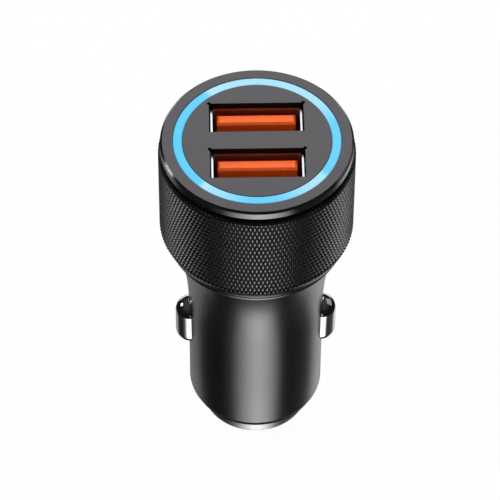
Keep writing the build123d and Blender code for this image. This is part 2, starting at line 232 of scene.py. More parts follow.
def extrude_rim(bm: Mesh, rim: Edges, move: Callable[..., Vector], *values: float | Vector) -> Edges:
    """Extrude the edges of a rim and move the new points.

    Args:
        bm: mesh in millimetres.
        rim: edges of the rim.
        move: gives the place of a new point from the place of the old one and the values.
        values: what else it takes.

    Returns:
        Edges of the new rim.
    """
    grown = bmesh.ops.extrude_edge_only(bm, edges=rim)["geom"]
    for vert in points_of(grown):
        vert.co = move(vert.co, *values)
    return [item for item in grown if isinstance(item, bmesh.types.BMEdge) and item.is_boundary]


def cylinder(radius: float, height: float, middle: tuple[float, float, float], segments: int) -> Mesh:
    """Upright cylinder.

    Args:
        radius: its radius.
        height: its height.
        middle: its middle.
        segments: steps of its turn.

    Returns:
        A closed mesh in millimetres.
    """
    bm = bmesh.new()
    bmesh.ops.create_cone(
        bm, cap_ends=True, segments=segments, radius1=radius, radius2=radius, depth=height,
        matrix=Matrix.Translation(middle),
    )
    return bm


def pill_bar(radius: float, length: float, x_from: float, x_to: float, z: float) -> Mesh:
    """Bar of a long round section that runs along X.

    Args:
        radius: radius of the round ends.
        length: distance between the centres of the round ends.
        x_from: X of one end.
        x_to: X of the other end.
        z: height of its middle.

    Returns:
        A closed mesh in millimetres.
    """
    bm = bmesh.new()
    ring = bmesh.ops.create_circle(bm, cap_ends=True, radius=radius, segments=Steps.CONTACT)["verts"]
    for vert in ring:
        vert.co.y += length / 2 if vert.co.y >= 0 else -length / 2
    across = Matrix.Rotation(pi / 2, 4, "Y") @ Matrix.Rotation(pi / 2, 4, "Z")
    bmesh.ops.transform(bm, matrix=across, verts=ring)
    bmesh.ops.translate(bm, vec=(x_from, 0, z), verts=ring)
    grown = bmesh.ops.extrude_face_region(bm, geom=bm.faces[:], use_keep_orig=True)["geom"]
    bmesh.ops.translate(bm, vec=(x_to - x_from, 0, 0), verts=points_of(grown))
    bmesh.ops.recalc_face_normals(bm, faces=bm.faces)
    return bm


def join(bm: Mesh, *others: Mesh) -> Mesh:
    """Take other meshes into the first one.

    Args:
        bm: mesh that grows.
        others: meshes that go into it, which are freed.

    Returns:
        The first mesh.
    """
    for other in others:
        mesh = bpy.data.meshes.new("joined")
        other.to_mesh(mesh)
        other.free()
        bm.from_mesh(mesh)
        bpy.data.meshes.remove(mesh)
    return bm


def link_new(name: str, data: bpy.types.ID) -> Piece:
    """Make an object of some data and put it into the scene.

    Args:
        name: name of the object.
        data: its mesh, camera or light.

    Returns:
        The object.
    """
    made = bpy.data.objects.new(name, data)
    bpy.context.scene.collection.objects.link(made)
    return made


def make_object(name: str, bm: Mesh) -> Piece:
    """Make an object in metres from a mesh in millimetres.

    Args:
        name: name of the piece.
        bm: closed mesh, which is freed.

    Returns:
        The object, linked into the scene.
    """
    bmesh.ops.scale(bm, vec=(MM, MM, MM), verts=bm.verts)
    mesh = bpy.data.meshes.new(name)
    bm.to_mesh(mesh)
    bm.free()
    return link_new(name, mesh)


def cut(piece: Piece, cutter: Mesh) -> None:
    """Cut a closed mesh out of a piece.

    Args:
        piece: object that is cut.
        cutter: closed shells in millimetres that don't overlap each other.
    """
    tool = make_object("cutter", cutter)
    boolean = piece.modifiers.new("cut", "BOOLEAN")
    boolean.operation = "DIFFERENCE"
    boolean.solver = "EXACT"
    boolean.object = tool
    result = piece.evaluated_get(bpy.context.evaluated_depsgraph_get())
    shape = bpy.data.meshes.new_from_object(result)
    piece.modifiers.clear()
    old = piece.data
    name = old.name
    piece.data = shape
    bpy.data.meshes.remove(old)
    shape.name = name
    bpy.data.objects.remove(tool)


def round_edges(piece: Piece, width: float, least: float = SHARP) -> None:
    """Round the sharp edges of a piece with a modifier.

    Args:
        piece: object that is rounded.
        width: width of the rounding, in millimetres.
        least: edges that turn by fewer degrees stay as they are.
    """
    bevel = piece.modifiers.new("round_edges", "BEVEL")
    bevel.width = width * MM
    bevel.segments = 2
    bevel.limit_method = "ANGLE"
    bevel.angle_limit = radians(least)


# Materials


def linear(code: str) -> Colour:
    """Turn an sRGB hex colour into the linear colour that a socket takes.

    Args:
        code: colour as #rrggbb.

    Returns:
        Red, green, blue and alpha.
    """
    parts = [int(code[place : place + 2], 16) / 255 for place in (1, 3, 5)]
    red, green, blue = (p / 12.92 if p <= 0.04045 else ((p + 0.055) / 1.055) ** 2.4 for p in parts)
    return red, green, blue, 1.0


def turn_share(degrees: float) -> float:
    """Place of an angle on a ramp that runs once round, from -180 to 180 degrees."""
    return (degrees + 180) / 360


def greys(levels: Levels, place: Callable[[float], float] = float) -> Stops:
    """Stops of a ramp that runs through levels of grey, at places worked out by a function."""
    return [(place(spot), (level, level, level, 1.0)) for spot, level in levels]


def feed(tree: Tree, node: Node, inputs: dict[str | int, object]) -> None:
    """Set or link the inputs of a node.

    Args:
        tree: node tree that the node is in.
        node: node that gets them.
        inputs: socket name or number, with a value or the socket that feeds it.
    """
    for name, value in inputs.items():
        if isinstance(value, Socket):
            tree.links.new(value, node.inputs[name])
        else:
            node.inputs[name].default_value = value


def add_node(
    tree: Tree,
    kind: str,
    inputs: dict[str | int, object] | None = None,
    stops: Stops | None = None,
    **settings: object,
) -> Node:
    """Add one node with its settings, its inputs and, on a colour ramp, its stops.

    Args:
        tree: node tree that gets the node.
        kind: Blender's name for the node.
        inputs: socket name or number, with a value or the socket that feeds it.
        stops: place and linear colour of each stop of a ramp.
        settings: attributes of the node.

    Returns:
        The new node.
    """
    node = tree.nodes.new(kind)
    for name, value in settings.items():
        setattr(node, name, value)
    if stops:
        ramp = node.color_ramp.elements
        ramp[0].position, ramp[0].color = stops[0]
        ramp[1].position, ramp[1].color = stops[-1]
        for place, colour in stops[1:-1]:
            ramp.new(place).color = colour
    feed(tree, node, inputs or {})
    return node


def turn_of(tree: Tree, side: Socket, ahead: Socket) -> Socket:
    """Add the angle of a direction, from 0 at -180 degrees to 1 at 180.

    Args:
        tree: node tree that gets the nodes.
        side: how far the direction goes to the side of positive angles.
        ahead: how far it goes along 0 degrees.

    Returns:
        The socket that gives the angle.
    """
    angle = add_node(tree, "ShaderNodeMath", {0: side, 1: ahead}, operation="ARCTAN2")
    share = add_node(
        tree, "ShaderNodeMapRange", {"Value": angle.outputs[0], "From Min": -pi, "From Max": pi}
    )
    return share.outputs["Result"]


def multiply_ramps(tree: Tree, *ramps: Ramp) -> Socket:
    """Add two colour ramps and multiply their colours.

    Args:
        tree: node tree that gets the nodes.
        ramps: for each ramp, the socket that feeds it and its stops.

    Returns:
        The socket that gives the product.
    """
    first, second = (
        add_node(tree, "ShaderNodeValToRGB", {0: place}, stops).outputs["Color"] for place, stops in ramps
    )
    product = add_node(
        tree, "ShaderNodeMix", {"Factor": 1.0, MIX_FIRST: first, MIX_SECOND: second},
        data_type="RGBA", blend_type="MULTIPLY",
    )
    return product.outputs[MIX_RESULT]


@dataclass(frozen=True)
class Finish:
    """Surface of one real material, whose grain moves its colour, gloss and height a little.

    Attributes:
        name: material's name.
        light: colour of the grain's high spots.
        dark: colour of its low spots.
        grain: size of one grain, in millimetres.
        rough: roughness of the low and of the high spots.
        height: height of the grain, in millimetres.
        stretch: how many times longer the grain is along X, Y and Z.
        metallic: 1 for a bare metal.
        ior: index of refraction, which a metal leaves alone.
        specular: share of the gloss, where 0.5 is what the index gives.
        through: share of light that goes into the material and comes out nearby.
    """

    name: str
    light: str
    dark: str
    grain: float
    rough: tuple[float, float]
    height: float
    stretch: tuple[float, float, float] = (1, 1, 1)
    metallic: float = 0
    ior: float = 1.5
    specular: float = 0.5
    through: float = 0

    def build(self) -> bpy.types.Material:
        """Make the material, or give the one that is there already.

        Returns:
            The finish as a Blender material.
        """
        if self.name in bpy.data.materials:
            return bpy.data.materials[self.name]
        material = bpy.data.materials.new(self.name)
        material.use_nodes = True
        tree = material.node_tree
        shader = tree.nodes["Principled BSDF"]
        grain = self.grain_of(tree)
        tones = [(NOISE_LOW, linear(self.dark)), (NOISE_HIGH, linear(self.light))]
        colour = add_node(tree, "ShaderNodeValToRGB", {0: grain}, tones)
        smoothest, roughest = self.rough
        gloss = add_node(
            tree, "ShaderNodeMapRange",
            {
                "Value": grain, "From Min": NOISE_LOW, "From Max": NOISE_HIGH,
                "To Min": smoothest, "To Max": roughest,
            },
        )
        relief = add_node(tree, "ShaderNodeBump", {"Height": grain, "Distance": self.height * MM})
        feed(tree, shader, {
            "Base Color": colour.outputs["Color"], "Roughness": gloss.outputs["Result"],
            "Normal": relief.outputs["Normal"], "Metallic": self.metallic, "IOR": self.ior,
            "Specular IOR Level": self.specular, "Subsurface Weight": self.through, "Subsurface Scale": MM,
        })
        self.add_extras(tree, shader)
        return material

    def grain_of(self, tree: Tree) -> Socket:
        """Add the grain of the surface.

        Args:
            tree: node tree of the material.

        Returns:
            The socket that gives the grain, from 0 to 1.
        """
        place = add_node(tree, "ShaderNodeTexCoord").outputs["Object"]
        scale = [1 / (self.grain * MM * times) for times in self.stretch]
        scaled = add_node(tree, "ShaderNodeMapping", {"Vector": place, "Scale": scale})
        noise = add_node(tree, "ShaderNodeTexNoise", {"Vector": scaled.outputs["Vector"], "Scale": 1.0})
        return noise.outputs["Fac"]

    def add_extras(self, tree: Tree, shader: Node) -> None:
        """Add what only this material has; a plain finish has nothing more."""


@dataclass(frozen=True)
class LitAcrylic(Finish):
    """Frosted acrylic with lamps under it, which glows blue and paler over each lamp.

    Attributes:
        glow: colour between the lamps.
        bright: colour over a lamp.
        places: angle from X in degrees, and how much of the bright colour shows there.
        fall: place between the ring's inner and outer edge, and the glow's strength there.
    """

    glow: str = "#55cefc"
    bright: str = "#b4ebff"
    places: Levels = (
        (-180, 0), (-136, 0.05), (-132, 1), (-112, 0.5), (-97, 0.05), (-78, 0.1), (-54, 0.75), (-38, 0.9),
        (-33, 0.1), (15, 0.1), (38, 0.85), (90, 0.8), (125, 0.95), (129, 0.1), (180, 0),
    )
    fall: Levels = (
        (0, 0.2), (0.02, 0.35), (0.07, 0.9), (0.12, 0.96), (0.86, 0.96), (0.91, 0.8), (0.97, 0.3),
        (1, 0.15),
    )

    def add_extras(self, tree: Tree, shader: Node) -> None:
        """Add the glow, by the angle round the axis and the place between the ring's edges.

        Args:
            tree: node tree of the material.
            shader: its main shader.
        """
        axes = add_node(
            tree, "ShaderNodeSeparateXYZ", {0: add_node(tree, "ShaderNodeTexCoord").outputs["Object"]}
        )
        around = turn_of(tree, axes.outputs["Y"], axes.outputs["X"])
        low = Vector(linear(self.glow))
        high = Vector(linear(self.bright))
        stops = [(turn_share(place), tuple(low.lerp(high, part))) for place, part in self.places]
        flat = add_node(tree, "ShaderNodeCombineXYZ", {"X": axes.outputs["X"], "Y": axes.outputs["Y"]})
        radius = add_node(tree, "ShaderNodeVectorMath", {0: flat.outputs[0]}, operation="LENGTH")
        across = add_node(
            tree, "ShaderNodeMapRange",
            {"Value": radius.outputs["Value"], "From Min": RING[0] * MM, "From Max": RING[1] * MM},
        )
        glow = multiply_ramps(tree, (around, stops), (across.outputs["Result"], greys(self.fall)))
        feed(tree, shader, {"Emission Color": glow, "Emission Strength": 1.0})


@dataclass(frozen=True)
class Laminate(Finish):
    """Glass laminate under a green mask, with copper tracks that show as paler lines.

    Attributes:
        track: colour of the mask over copper.
        pitch: distance between tracks, in millimetres.
        track_edge: where a track starts to fade and is gone, as shares of the pitch from its middle.
    """

    track: str = "#2f7a4a"
    pitch: float = 1.6
    track_edge: tuple[float, float] = (0.08, 0.12)

    def add_extras(self, tree: Tree, shader: Node) -> None:
        """Lay the tracks over the mask.

        Args:
            tree: node tree of the material.
            shader: its main shader.
        """
        place = add_node(tree, "ShaderNodeTexCoord").outputs["Object"]
        scale = 1 / (self.pitch * MM)
        scaled = add_node(tree, "ShaderNodeMapping", {"Vector": place, "Scale": (scale, scale, scale)})
        cells = add_node(
            tree, "ShaderNodeTexVoronoi", {"Vector": scaled.outputs["Vector"], "Scale": 1.0},
            feature="DISTANCE_TO_EDGE", distance="MANHATTAN",
        )
        inner, outer = self.track_edge
        line = add_node(
            tree, "ShaderNodeMapRange",
            {
                "Value": cells.outputs["Distance"], "From Min": inner, "From Max": outer,
                "To Min": 1.0, "To Max": 0.0,
            },
        )
        mask = shader.inputs["Base Color"].links[0].from_socket
        mixed = add_node(
            tree, "ShaderNodeMix",
            {"Factor": line.outputs["Result"], MIX_FIRST: mask, MIX_SECOND: linear(self.track)},
            data_type="RGBA",
        )
        feed(tree, shader, {"Base Color": mixed.outputs[MIX_RESULT]})


# Blasting, spark erosion, moulding and rolling leave a grain of some hundredths of a millimetre, too fine
# to show here, so each grain below is drawn coarser, at 0.2 mm and up, and only faintly.

# Satin black anodised aluminium: even and deep, with broad soft highlights from the blasted skin.
ANODISED = Finish(
    "anodised_aluminium_satin_black", "#151517", "#121214", 0.3, (0.23, 0.27), 0.0001, ior=1.62
)
# Cut knurl in the same dye, with small points of light on the lands; drawn blacker than the blasted body as
# painted shade of its grooves.
KNURL_GROOVE_SHADE = Finish(
    "anodised_aluminium_cut_knurl", "#0d0d0e", "#09090a", 0.4, (0.24, 0.3), 0.0002, ior=1.55
)
# ABS moulded against a spark-eroded tool, with a fine matt grain: its dark grey is partly the face's own
# tone and partly a painted sheen of the light from above.
MATT_FACE_AND_SHEEN = Finish("abs_spark_eroded_grey_and_sheen", "#525054", "#4e4c50", 0.2, (0.5, 0.6), 0.001)
# The same ABS where the tool is polished: black and glossy, with an index raised to match its bright rim.
POLISHED_RIM = Finish("abs_polished_black", "#121213", "#0e0e0f", 1.2, (0.12, 0.16), 0.0003, ior=1.72)
# The same ABS inside the slots, in the groove and underneath, drawn black and dull as painted shade of these
# recesses.
SHADED_WALL = Finish(
    "abs_dull_black_painted_shade", "#0d0d0e", "#0a0a0b", 0.4, (0.6, 0.7), 0.0002, specular=0.2
)
# Frosted acrylic light guide.
LIT_RING = LitAcrylic("acrylic_frosted_lit", "#0f1c22", "#0b161c", 0.3, (0.35, 0.45), 0.002, ior=1.49)
# Bright nickel-chrome plate over brass: mirror reflections with the faint waves of polishing.
BRIGHT_PLATE = Finish(
    "brass_bright_chrome_plate", "#c6c6ca", "#babac0", 1.5, (0.03, 0.06), 0.0006, metallic=1
)
# Satin nickel plate of the nose: softer reflections, from the rubbing in the socket.
NOSE_PLATE = Finish(
    "brass_satin_nickel_plate", "#a5a3a1", "#9b9997", 0.5, (0.34, 0.42), 0.0001, (1, 1, 0.2), 1
)
# Folded stainless steel: pale, with the fine lengthwise lines of rolling.
SHELL_STEEL = Finish(
    "stainless_steel_rolled", "#dcdcdc", "#d6d6d6", 0.2, (0.28, 0.3), 0.00001, (1, 1, 12), 1
)
# Orange PBT insulator: satin moulded plastic that lets some light in and glows a little redder inside.
ORANGE_PBT = Finish(
    "pbt_moulded_orange", "#ff6a16", "#fc600e", 0.6, (0.42, 0.48), 0.0002, through=0.4
)
# Gold-flashed contact strips.
GOLD_STRIP = Finish("brass_gold_flashed", "#f0c878", "#dcae58", 0.3, (0.16, 0.26), 0.0008, (1, 1, 8), 1)
# Spring steel: grey drawn wire and strip.
SPRING_STEEL = Finish("spring_steel_drawn", "#a9abb0", "#8b8e94", 0.3, (0.24, 0.36), 0.0008, (1, 1, 4), 1)
# Black glass-filled nylon of the bush: dull, with a faint fibre mottle.
BUSH_NYLON = Finish(
    "nylon_glass_filled_black", "#0f0f10", "#09090a", 0.5, (0.6, 0.7), 0.001, ior=1.53, specular=0.12
)
# Green solder mask over glass laminate: glossy, with the tracks under it.
BOARD = Laminate("glass_laminate_green_mask", "#1c5c36", "#164e2d", 0.6, (0.22, 0.32), 0.002)
# White lamp body with a silicone dome.
LAMP = Finish("silicone_lamp_white", "#f2efe2", "#e6e2d2", 0.4, (0.35, 0.45), 0.001, ior=1.42, through=0.2)
# Pressed ferrite: dark grey and dusty.
FERRITE = Finish("ferrite_pressed", "#3f3f42", "#2f2f32", 0.35, (0.55, 0.75), 0.004)
# Drawn aluminium can: pale, with lines round the drawing.
CAN = Finish("aluminium_drawn_can", "#d8d9db", "#bfc1c4", 0.25, (0.22, 0.34), 0.001, (6, 1, 1), 1)
# Black moulded epoxy of chips: matt and slightly sandy.
EPOXY = Finish("epoxy_moulded_black", "#262628", "#1a1a1c", 0.25, (0.55, 0.7), 0.003, ior=1.55)
# Glazed ceramic of the block fuse.
CERAMIC = Finish("ceramic_glazed_white", "#efece4", "#e2ded4", 0.8, (0.2, 0.3), 0.001, ior=1.6)


@dataclass
class SubAssembly(ABC):
    """Group of pieces that belong together, with what they share."""

    @abstractmethod
    def build(self) -> None:
        """Make and dress the pieces."""

    def add(
        self, piece: Piece, node: str, slot: str, finishes: list[Finish], body: Body = Body.MAIN
    ) -> None:
        """Put a new piece in place of its solid and dress it.

        Args:
            piece: finished object.
            node: solid that it replaces.
            slot: not used.
            finishes: one finish for each material number of its faces.
            body: body that it rides on.
        """
        piece.data.shade_smooth()
        piece.data.set_sharp_from_angle(angle=radians(SHADED_SHARP))
        piece.data.materials.clear()
        for finish in finishes:
            piece.data.materials.append(finish.build())
        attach(piece, body.value)
        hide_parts(node)
        log.info("made %s with %d faces for %s", piece.name, len(piece.data.polygons), node)

    def keep(self, node: str, finish: Finish, edge: float = 0) -> None:
        """Keep a solid as it is, dress it and round its edges.

        Args:
            node: solid that stays.
            finish: its surface.
            edge: width of the rounding on its edges, in millimetres.
        """
        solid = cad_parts[node]
        solid.data.materials.clear()
        solid.data.materials.append(finish.build())
        if edge:
            weld = solid.modifiers.new("join_faces", "WELD")
            weld.merge_threshold = LOOSE_WELD * MM
            round_edges(solid, edge)
        log.info("kept %s", node)


@dataclass
class Housing(SubAssembly):
    """Turned body: barrel, flare, thin flange and the cup inside the sleeve.

    Attributes:
        barrel_r: radius of the plain wall.
        barrel_wall: thickness of the barrel.
        end_round: rounding at the lower end.
        plain_l: length of the plain wall.
        draft: how much wider the barrel is where the flare begins.
        flare_above: height of the flare's beginning above the contacts' middle.
        flare_top_r: radius of the flare's upper end.
        flange_r: radius of the flange.
        flange_t: thickness of the flange.
        flange_round: rounding of the flange's upper edge.
        seam_r: radius of the groove between the flange and the sleeve.
        seam_h: height of that groove.
        cup: outer and inner radius of the cup.
        shelf_r: inner radius of the shelf.
        contact_gap: clearance round the side contacts.
        hole_edge: rounding round the holes of the contacts.
        hole_sharp: edges of the holes turn by at least this many degrees.
        edge: rounding of its edges.
    """

    barrel_r: float = 9.98
    barrel_wall: float = 1.6
    end_round: float = 0.6
    plain_l: float = 8.45
    draft: float = 0.03
    flare_above: float = 5.0
    flare_top_r: float = 12.101
    flange_r: float = 12.951
    flange_t: float = 0.5
    flange_round: float = 0.16
    seam_r: float = 12.751
    seam_h: float = 0.55
    cup: tuple[float, float] = (12.981, 12.181)
    shelf_r: float = 10.881
    contact_gap: float = 0.12
    hole_edge: float = 0.14
    hole_sharp: float = 50
    edge: float = 0.06

    def build(self) -> None:
        """Turn the body, cut the holes of the side contacts and dress it."""
        low, high = span("housing")
        contact_low, contact_high = span("side_contact_right")
        contact_z = (contact_low.z + contact_high.z) / 2
        straight_l = contact_z + self.flare_above
        seam_z = span("knurled_sleeve")[0].z
        flange_z = seam_z - self.seam_h
        flare_z = flange_z - self.flange_t
        shelf_z = span("usb_board")[0].z
        bore_r = self.barrel_r - self.barrel_wall
        round_r = self.end_round
        quarter = fan(pi / 2, Steps.CORNER)
        outline = [(bore_r, low.z)]
        outline += [
            (self.barrel_r - round_r * (1 - sin(a)), low.z + round_r * (1 - cos(a))) for a in quarter
        ]
        outline.append((self.barrel_r, self.plain_l))
        foot = (self.barrel_r + self.draft, straight_l)
        outline += arc(foot, (self.flare_top_r, flare_z), Steps.CURVE)
        outline.append((self.flange_r, flare_z))
        top_r = self.flange_round
        outline += [(self.flange_r - top_r * (1 - cos(a)), flange_z - top_r * (1 - sin(a))) for a in quarter]
        outline += [(self.seam_r, flange_z), (self.seam_r, seam_z), (self.cup[0], seam_z)]
        outline += [(self.cup[0], high.z), (self.cup[1], high.z), (self.cup[1], shelf_z)]
        outline += reversed(arc((bore_r, straight_l), (self.shelf_r, shelf_z), Steps.HIDDEN))
        bm = turn(outline, Steps.BODY)
        soften(bm, self.edge)
        piece = make_object("turned_body", bm)
        contact = SideContact(Side.RIGHT)
        hole = contact.pad_r + self.contact_gap
        cut(piece, pill_bar(hole, contact.pad_l, -self.flange_r, self.flange_r, contact_z))
        self.add(piece, "housing", "black_aluminium", [ANODISED])
        round_edges(piece, self.hole_edge, self.hole_sharp)


@dataclass
class KnurledSleeve(SubAssembly):
    """Sleeve over the cup, with its fine diamond knurl, bevelled lip and plain top edge.

    Attributes:
        starts: diamonds round the sleeve.
        rows: diamonds up the band.
        lip_l: height of the smooth lip.
        top_band: height of the plain edge above the knurl.
        top_r: radius of that plain edge.
        valley_r: radius at the bottom of the grooves.
        flank: width of a groove's flank, seen from outside.
        inner_r: radius of its bore.
        lip_low_r: radius of the lip's lower edge.
        lip_mid: radius of the lip's hollow, and its height above that edge.
        lip_high_r: radius of the lip's upper edge.
        lip_step: height of the fall from the knurl to the lip.
    """

    starts: int = 146
    rows: int = 9
    lip_l: float = 1.75
    top_band: float = 0.3
    top_r: float = 13.851
    valley_r: float = 13.851
    flank: float = 0.155
    inner_r: float = 13.011
    lip_low_r: float = 13.351
    lip_mid: tuple[float, float] = (13.46, 0.8)
    lip_high_r: float = 13.951
    lip_step: float = 0.06

    def diamond(self, height: float, land_r: float) -> Mesh:
        """One raised diamond of the knurl, at the foot of the band.

        Args:
            height: height of a diamond.
            land_r: radius of its flat top.

        Returns:
            A mesh of five faces, in millimetres.
        """
        half = pi / self.starts
        bm = bmesh.new()
        corners = [(-half, 0), (0, -height / 2), (half, 0), (0, height / 2)]
        verts = [bm.verts.new((self.valley_r * cos(a), self.valley_r * sin(a), z)) for a, z in corners]
        face = bm.faces.new(verts)
        face.normal_update()
        bmesh.ops.inset_individual(
            bm, faces=[face], thickness=self.flank, depth=land_r - self.valley_r, use_even_offset=True
        )
        return bm

    @staticmethod
    def on_circle(point: Vector, radius: float, height: float) -> Vector:
        """Point of a circle about the axis, at the same angle as another point."""
        return (point.xy.normalized() * radius).to_3d() + Vector((0, 0, height))

    def build(self) -> None:
        """Repeat the diamond over the band, close the sleeve with its plain parts and dress it."""
        low, high = span("knurled_sleeve")
        band_low = low.z + self.lip_l
        band_high = high.z - self.top_band
        height = (band_high - band_low) / self.rows
        bm = self.diamond(height, high.x)
        bmesh.ops.translate(bm, vec=(0, 0, band_low), verts=bm.verts)
        bmesh.ops.spin(
            bm, geom=whole(bm), cent=(0, 0, 0), axis=(0, 0, 1),
            angle=2 * pi * (self.starts - 1) / self.starts, steps=self.starts - 1, use_duplicate=True,
        )
        ring = whole(bm)
        for row in range(1, 2 * self.rows + 1):
            copy = bmesh.ops.duplicate(bm, geom=ring)["geom"]
            points = points_of(copy)
            turned = Matrix.Rotation(row * pi / self.starts, 3, "Z")
            bmesh.ops.rotate(bm, cent=(0, 0, 0), matrix=turned, verts=points)
            bmesh.ops.translate(bm, vec=(0, 0, row * height / 2), verts=points)
        bmesh.ops.remove_doubles(bm, verts=bm.verts, dist=LOOSE_WELD)
        for level, keeps_above in ((band_low, True), (band_high, False)):
            bmesh.ops.bisect_plane(
                bm, geom=whole(bm), dist=LOOSE_WELD, plane_co=(0, 0, level), plane_no=(0, 0, 1),
                clear_inner=keeps_above, clear_outer=not keeps_above,
            )
        middle = (band_low + band_high) / 2
        rims = open_edges(bm)
        lower = [edge for edge in rims if edge.verts[0].co.z < middle]
        upper = [edge for edge in rims if edge.verts[0].co.z > middle]
        lip_r, lip_rise = self.lip_mid
        for circle in ((self.top_r, high.z), (self.inner_r, high.z)):
            upper = extrude_rim(bm, upper, self.on_circle, *circle)
        for circle in (
            (self.lip_high_r, band_low - self.lip_step), (lip_r, low.z + lip_rise),
            (self.lip_low_r, low.z), (self.inner_r, low.z),
        ):
            lower = extrude_rim(bm, lower, self.on_circle, *circle)
        bmesh.ops.bridge_loops(bm, edges=lower + upper)
        bmesh.ops.recalc_face_normals(bm, faces=bm.faces)
        piece = make_object("knurled_grip_sleeve", bm)
        # The knurled band takes the knurl finish, blacker as painted shade of the grooves; the lip and plain
        # edge take the body's.
        self.add(piece, "knurled_sleeve", "black_aluminium", [KNURL_GROOVE_SHADE, ANODISED])
        for face in piece.data.polygons:
            face.material_index = 0 if band_low < face.center.z / MM < band_high else 1


@dataclass
class FacePlate(SubAssembly):
    """Moulded plate: matt face, polished rim, groove of the ring, skirt and the two socket slots.

    Attributes:
        plate_t: thickness behind the face.
        rim_t: height of the rim.
        chamfer: chamfer at the rim's upper edge.
        ring: inner and outer radius of the groove.
        groove_depth: depth of the groove.
        boss: inner radius and depth of the boss under the groove.
        skirt: outer and inner radius of the skirt.
        skirt_l: length of the skirt.
        slot: width and height of a slot.
        slot_y: distance of a slot's middle from the axis.
        slot_cut: height of the cutters of the slots and their corners, half of it below the face.
        ear_r: radius of the relief in a slot's back corners.
        leg_r: radius of the leg holes.
        leg_cut: depth of a leg hole's middle below the groove, and its length.
        edge: rounding of its edges.
    """

    plate_t: float = 1.0
    rim_t: float = 1.3
    chamfer: float = 0.3
    ring: tuple[float, float] = (10.601, 12.011)
    groove_depth: float = 1.44
    boss: tuple[float, float] = (10.051, 2.6)
    skirt: tuple[float, float] = (12.151, 11.601)
    skirt_l: float = 3.4
    slot: tuple[float, float] = (13.5, 5.45)
    slot_y: float = 4.35
    slot_cut: float = 4
    ear_r: float = 0.27
    leg_r: float = 0.5
    leg_cut: tuple[float, float] = (1.5, 3.4)
    edge: float = 0.05

    def build(self) -> None:
        """Turn the plate, cut its holes and dress the face, the rim and the inside apart."""
        high = span("face_plate")[1]
        face_z = high.z
        rim_z = face_z - self.rim_t
        groove_z = face_z - self.groove_depth
        boss_r, boss_depth = self.boss
        skirt_r, skirt_in_r = self.skirt
        in_r, out_r = self.ring
        outline = [(boss_r, face_z - self.plate_t), (boss_r, face_z - boss_depth)]
        outline += [(skirt_in_r, face_z - boss_depth), (skirt_in_r, rim_z - self.skirt_l)]
        outline += [(skirt_r, rim_z - self.skirt_l), (skirt_r, rim_z), (high.x, rim_z)]
        outline += [(high.x, face_z - self.chamfer), (high.x - self.chamfer, face_z), (out_r, face_z)]
        outline += [(out_r, groove_z), (in_r, groove_z), (in_r, face_z)]
        piece = make_object("moulded_face_plate", turn(outline, Steps.BODY, closed=False))
        slot_w, slot_h = self.slot
        holes = bmesh.new()
        ears = bmesh.new()
        for middle in (-self.slot_y, self.slot_y):
            box = bmesh.new()
            size = Matrix.Diagonal((slot_w, slot_h, self.slot_cut, 1))
            place = Matrix.Translation((0, middle, face_z)) @ size
            bmesh.ops.create_cube(box, size=1, matrix=place)
            join(holes, box)
            for x in (-slot_w / 2, slot_w / 2):
                corner = (x, middle + slot_h / 2, face_z)
                join(ears, cylinder(self.ear_r, self.slot_cut, corner, Steps.HOLE))
        leg_depth, leg_l = self.leg_cut
        for quarter in range(4):
            angle = pi / 4 + quarter * pi / 2
            spot = (LEG_CIRCLE_R * cos(angle), LEG_CIRCLE_R * sin(angle), groove_z - leg_depth)
            join(holes, cylinder(self.leg_r, leg_l, spot, Steps.HOLE))
        cut(piece, holes)
        cut(piece, ears)
        self.add(piece, "face_plate", "face_plastic", [MATT_FACE_AND_SHEEN, POLISHED_RIM, SHADED_WALL])
        # The top of the face takes the grey with its painted sheen, the rim the polished black, and the slot
        # walls, groove and underside the black of painted shade.
        for face in piece.data.polygons:
            if face.normal.z > UPWARD and face.center.z > (face_z - NEAR) * MM:
                face.material_index = 0
            elif face.center.xy.length > skirt_r * MM:
                face.material_index = 1
            else:
                face.material_index = 2
        round_edges(piece, self.edge)


@dataclass
class LightRing(SubAssembly):
    """Acrylic ring that glows in the face, with a leg down to each lamp, and the lamps.

    Attributes:
        height: height of the ring itself.
        leg_r: radius of a leg.
        edge: rounding of the ring's edges.
        lamp_edge: rounding of the lamps' edges.
    """

    height: float = 1.4
    leg_r: float = 0.45
    edge: float = 0.12
    lamp_edge: float = 0.05

    def build(self) -> None:
        """Turn the ring, add its legs, dress it and dress the lamps."""
        low, high = span("light_ring")
        in_r, out_r = RING
        low_z = high.z - self.height
        bm = turn([(in_r, low_z), (out_r, low_z), (out_r, high.z), (in_r, high.z)], Steps.BODY)
        soften(bm, self.edge)
        top_z = low_z + self.edge
        middle = (LEG_CIRCLE_R, 0, (low.z + top_z) / 2)
        legs = cylinder(self.leg_r, top_z - low.z, middle, Steps.CURVE)
        bmesh.ops.rotate(legs, cent=(0, 0, 0), matrix=Matrix.Rotation(pi / 4, 3, "Z"), verts=legs.verts)
        bmesh.ops.spin(
            legs, geom=whole(legs), cent=(0, 0, 0), axis=(0, 0, 1), angle=1.5 * pi, steps=3,
            use_duplicate=True,
        )
        piece = make_object("glowing_ring", join(bm, legs))
        self.add(piece, "light_ring", "ring_clear", [LIT_RING])
        self.keep("ring_leds", LAMP, self.lamp_edge)


@dataclass
class UsbSocket(SubAssembly):
    """One socket: folded shell, orange tongue and its contact strips.

    Attributes:
        port: which of the two sockets it is.
        shell_edge: rounding on the shell.
        tongue_edge: rounding on the tongue.
    """

    port: Port
    shell_edge: float = 0.05
    tongue_edge: float = 0.08

    def build(self) -> None:
        """Dress the socket's solids."""
        self.keep(f"usb_shell_{self.port.value}", SHELL_STEEL, self.shell_edge)
        self.keep(f"usb_tongue_{self.port.value}", ORANGE_PBT, self.tongue_edge)
        self.keep(f"usb_terminals_{self.port.value}", GOLD_STRIP, self.shell_edge)


